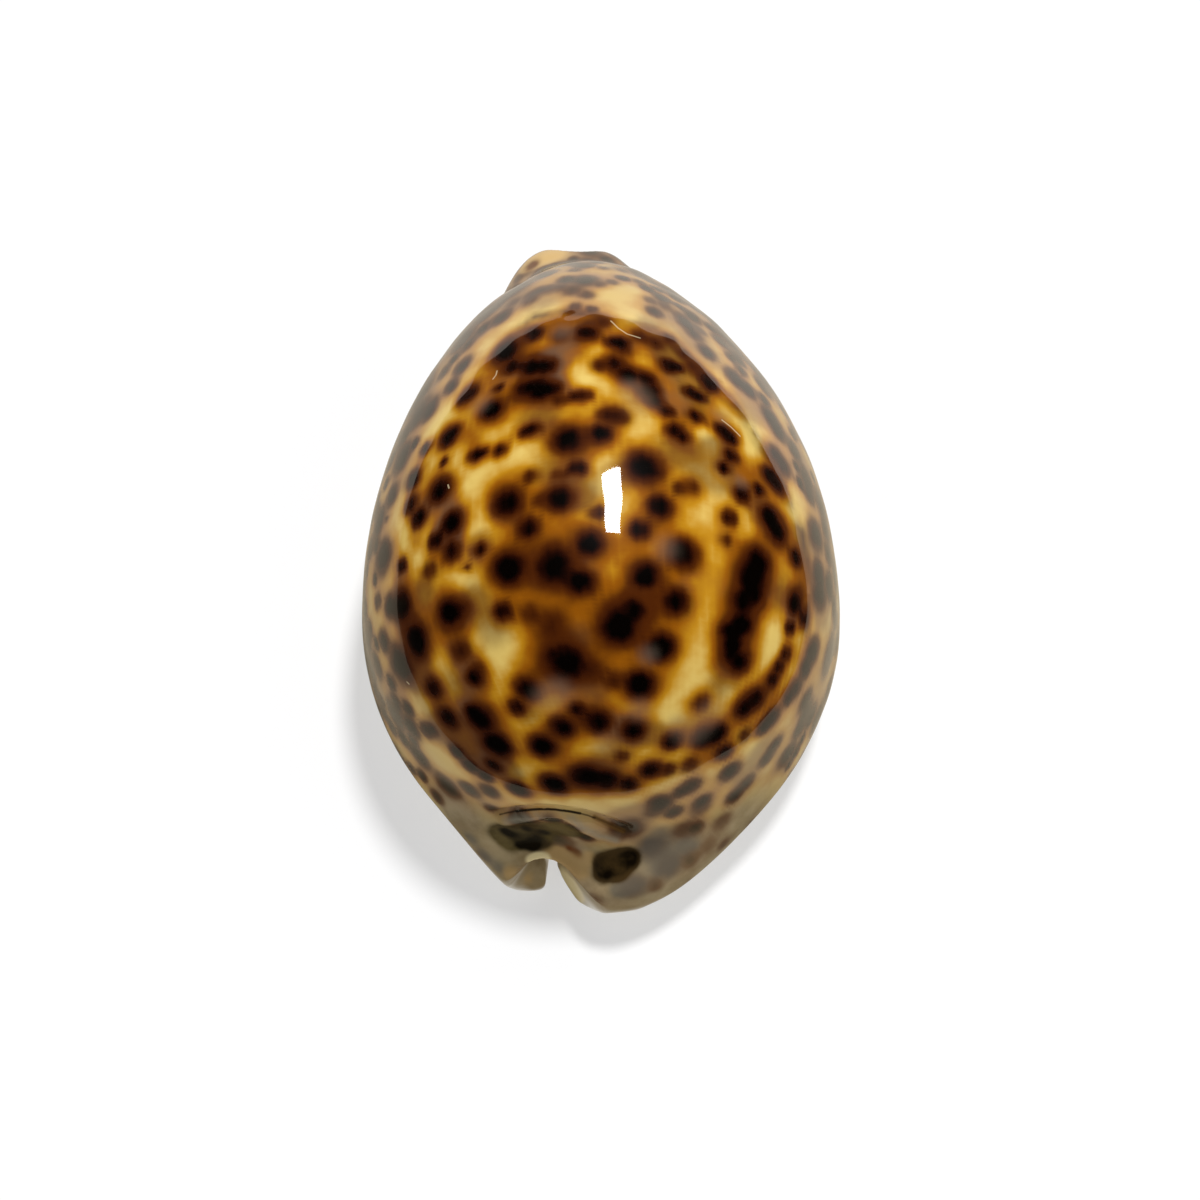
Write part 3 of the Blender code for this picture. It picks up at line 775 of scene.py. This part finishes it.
colour = wires.lay(colour, LILAC_VEIL, wires.step(wires.stored("lilac"), 0.1, 1.3), 0.42)
for name, low_end, high_end, share, over in ZONE_COLOURS:
    colour = wires.lay(colour, over, zone(name, low_end, high_end), share)
pit = wires.math("MULTIPLY", zone("pit", 0.05, 0.8), wires.step(clouds, -0.3, 0.9))
colour = wires.lay(colour, PIT, pit)
print("zones laid:", len(ZONE_COLOURS) + 2)

# %% [markdown]
# The finest lines come next: the pale ridge, the crease with its thin dark painted shadow, a brown
# leaf of glaze at its right end, and the scratches that a shell gets on sand, painted pale as the
# glints they catch, a painted highlight. Each is drawn by strokes of the node group, one for every
# straight step of a path.

# %% Draw the fine lines
LEAF = ((594, 817), (606, 823), (616, 828), (623, 831))
CREASE_LINE = (
    (500, 814.5), (508, 812.5), (516, 811.2), (524, 810.3), (532, 809.6), (540, 809.1), (548, 809.1),
    (556, 809.6), (564, 810.6), (572, 811.8), (580, 813.3), (588, 815.4), (595, 818),
)
SCRATCHES = (
    ((611, 321), (618, 328), (627, 334), (640, 338)), ((497, 371), (496, 375), (493, 379)),
    ((722, 420), (731, 427), (740, 436)), ((448, 485), (449, 488)), ((407, 682), (409, 684)),
)
RIDGE_GREY, LEAF_BROWN, CREASE_DARK, CREASE_SOFT = "8E8772", "6B4A1C", "1E160A", "3A240A"
# The scratches are painted pale as glints: a painted highlight over real scratches.
SCRATCH_GLINT, RUST_SPOT = "E2CFA4", "5E3006"
LINES = (
    (LEAF, 0.42 * MM, 0.6, LEAF_BROWN), (CREASE_LINE[2:-2], 0.22 * MM, 0.9, CREASE_DARK),
    (CREASE_LINE, 0.15 * MM, 0.7, CREASE_DARK), (CREASE[-3:], 0.2 * MM, 0.5, CREASE_SOFT),
) + tuple((path, 0.13 * MM, 0.5, SCRATCH_GLINT) for path in SCRATCHES)


def strokes(path, width):
    """The strongest of the strokes along a path that is given as places in the picture."""
    total = 0.0
    for ends in zip(path, path[1:]):
        start, end = [on_shell(x, y)[0] for x, y in ends]
        stroke = wires.add("ShaderNodeGroup", node_tree=STROKE)
        for socket, item in zip(stroke.inputs, (where, start, end, width)):
            wires.feed(socket, item)
        total = wires.math("MAXIMUM", total, stroke.outputs["Share"])
    return total


colour = wires.lay(colour, RIDGE_GREY, wires.stored("ridge"), 0.6)
for path, width, share, over in LINES:
    colour = wires.lay(colour, over, strokes(path, width), share)
colour = wires.lay(colour, RUST_SPOT, zone("rust", 0.0, 1.5), 0.95)
print("lines drawn:", len(LINES))

# %% [markdown]
# Last the white of the base, and the gloss. The clear glaze is a coat of its own over a body that
# hardly shines, so the reflections are sharp while the colours stay deep. At the rear end the
# glaze is rubbed dull, and the coat thins out to almost nothing.

# %% Finish the glaze
BASE_WHITE = "EFE9DC"
WORN_COAT = 0.06
GLOSS = (
    ("Roughness", 0.38), ("Specular IOR Level", 0.04), ("Coat Roughness", 0.025), ("Coat IOR", 1.5),
)

pale = wires.math("ADD", wires.stored("base"), wires.math("MULTIPLY", drift, 0.12))
colour = wires.lay(colour, BASE_WHITE, wires.step(pale, 0.25, 0.85))
wires.feed(surface.inputs["Base Color"], colour)
dull = wires.math("MAXIMUM", wires.stored("rear"), wires.stored("olive"))
wires.feed(surface.inputs["Coat Weight"], wires.step(dull, 0.0, 0.45, 1.0, WORN_COAT))
for name, value in GLOSS:
    surface.inputs[name].default_value = value
shell.data.materials.clear()
shell.data.materials.append(glaze)
print("nodes in the glaze:", len(glaze.node_tree.nodes))

# %% [markdown]
# ## The piece in its place
# The new piece takes the measured form's place. It rides on the only body there is, and its finish
# has a slot of its own, so that another finish can be put there later.

# %% Put the piece in place of the measured form
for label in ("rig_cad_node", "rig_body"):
    if label in shell:
        del shell[label]
shell.parent = None
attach(shell, "root")
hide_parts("shell")
print("in place:", shell.name)

# %% [markdown]
# ## The table
# The shell lies on white card. Its gloss shows where the card ends: inside that line the back
# mirrors the dim room and looks deep and dark, outside it the white card veils the colours. So
# the card that the gloss sees has a measured outline, and the table that the camera sees is plain
# and goes on past the picture's edge. The table gives off a little light of its own. It stands for
# the light that a white room throws back, and keeps the shadow pale.

# %% Lay the table and the card
TABLE_SIDE = 1800 * MM
CARD_HEIGHT = 0.1 * MM
CARD = (
    (-84, -11), (-66, -30), (-45, -43), (-21, -57), (-6, -70), (14, -71), (39, -62), (56, -30),
    (74, 0), (84, 30), (113, 67), (170, 200), (200, 600), (-150, 600), (-127, 145), (-84, 55),
)
PAPER = (("Base Color", (0.9, 0.9, 0.9, 1.0)), ("Roughness", 0.9), ("Specular IOR Level", 0.0))
TABLE = (
    ("Base Color", (0.46, 0.46, 0.46, 1.0)), ("Emission Color", (1.0, 1.0, 1.0, 1.0)),
    ("Emission Strength", 0.42),
)


def set_inputs(sheet, values):
    """Set inputs of a sheet's paper, by name."""
    inputs = sheet.active_material.node_tree.nodes["Principled BSDF"].inputs
    for name, value in values:
        inputs[name].default_value = value
    return inputs


bpy.ops.mesh.primitive_plane_add(size=TABLE_SIDE)
table = bpy.context.view_layer.objects.active
table.name = "white table"
bpy.ops.mesh.primitive_circle_add(vertices=len(CARD), fill_type="NGON")
card = bpy.context.view_layer.objects.active
card.name = "white card"
for corner, (x, y) in zip(card.data.vertices, CARD):
    corner.co = (x * MM, y * MM, CARD_HEIGHT)
card.data.update()
for sheet in (table, card):
    paper = bpy.data.materials.new(sheet.name)
    paper.use_nodes = True
    sheet.data.materials.append(paper)
    set_inputs(sheet, PAPER)
set_inputs(table, TABLE)
table.visible_glossy = False
card.visible_camera = False
card.visible_diffuse = False
card.visible_shadow = False
print("corners of the card:", len(card.data.vertices))

# %% [markdown]
# Seen in the gloss, the card isn't evenly bright, and that light and shade is painted into its
# colour: it is darker and warmer beside the shell's rear end, and brighter towards the right, where
# the light comes from. So its colour runs from one to the other along its length, and gains across
# its width.

# %% Shade the card
CARD_NEAR, CARD_FAR = (0.31, 0.27, 0.20, 1.0), (0.62, 0.57, 0.50, 1.0)
NEAR_END, FAR_END = -10 * MM, 90 * MM
RIGHT_END, RIGHT_GAIN = 60 * MM, 1.45

tint = Wires(card.active_material.node_tree)
spread = tint.add("ShaderNodeSeparateXYZ")
tint.feed(spread.inputs[0], tint.add("ShaderNodeTexCoord").outputs["Object"])
side = tint.step(spread.outputs["X"], 0.0, RIGHT_END, 1.0, RIGHT_GAIN)
shade = tint.lay(CARD_NEAR, CARD_FAR, tint.step(spread.outputs["Y"], NEAR_END, FAR_END))
tint.feed(set_inputs(card, ())["Base Color"], tint.scaled(shade, side))
print("the card gains at its right side:", RIGHT_GAIN)

# %% [markdown]
# ## Light
# One soft sun high above the front end throws the shadow. It has no place in the gloss, because
# the picture shows none. What shows there is a narrow, upright lamp, near the middle of the back.
# Its place and size come from the picture: rays from the camera are mirrored by the skin at the
# ends and sides of the bright strip, and the lamp hangs where they arrive.

# %% Hang the sun and the strip lamp
SUN_POWER, SUN_PLACE, SUN_ANGLE = 2.75, (0.157, 0.341, 0.927), radians(9)
STRIP_POWER, REACH = 1.6, 0.5
GLINT_TOP, GLINT_FOOT, GLINT_LEFT, GLINT_RIGHT = (613, 470), (615, 535), (608, 503), (622, 503)


def hung(data, place):
    """Hang a lamp at a place, turned to the shell."""
    obj = bpy.data.objects.new(data.name, data)
    bpy.context.scene.collection.objects.link(obj)
    obj.location = place
    obj.rotation_euler = (Vector(place) - CENTRE).to_track_quat("Z", "Y").to_euler()
    return obj


def mirrored(x, y):
    """The place that the gloss shows at a place in the picture, at the lamp's distance."""
    place, normal = on_shell(x, y)
    sight = ray_through(x, y)
    return place + (sight - 2.0 * sight.dot(normal) * normal) * REACH


sun = bpy.data.lights.new("window light", "SUN")
sun.energy = SUN_POWER
sun.angle = SUN_ANGLE
hung(sun, SUN_PLACE).visible_glossy = False

top, foot = mirrored(*GLINT_TOP), mirrored(*GLINT_FOOT)
middle = 0.5 * (top + foot)
glow = bpy.data.lights.new("strip lamp", "AREA")
glow.energy = STRIP_POWER
glow.shape = "RECTANGLE"
glow.size = (mirrored(*GLINT_RIGHT) - mirrored(*GLINT_LEFT)).length
glow.size_y = (top - foot).length
strip = hung(glow, middle)
away = (middle - on_shell(*GLINT_LEFT)[0]).normalized()
across = (top - foot).cross(away).normalized()
strip.rotation_euler = Matrix((across, away.cross(across), away)).transposed().to_euler()
strip.visible_diffuse = False
print("strip lamp, m:", round(glow.size, 3), "by", round(glow.size_y, 3))

# %% [markdown]
# The room around is white to the camera and sends a soft, cool light on everything, but in the
# gloss it is nearly black, because the real room was dim around the bright table.

# %% Light the room
GLOSSY_ROOM, SOFT_ROOM = (0.005, 0.0045, 0.004, 1.0), (0.5, 0.505, 0.52, 1.0)
WHITE = (1.0, 1.0, 1.0, 1.0)

room = bpy.data.worlds.new("dim room")
bpy.context.scene.world = room
room.use_nodes = True
air = Wires(room.node_tree)
rays = air.add("ShaderNodeLightPath")
level = air.lay(GLOSSY_ROOM, SOFT_ROOM, rays.outputs["Is Diffuse Ray"])
level = air.lay(level, WHITE, rays.outputs["Is Camera Ray"])
air.feed(room.node_tree.nodes["Background"].inputs["Color"], level)
bpy.context.scene.view_settings.view_transform = "Standard"
bpy.context.scene.view_settings.look = "None"
print("nodes in the room's air:", len(room.node_tree.nodes))

# %% [markdown]
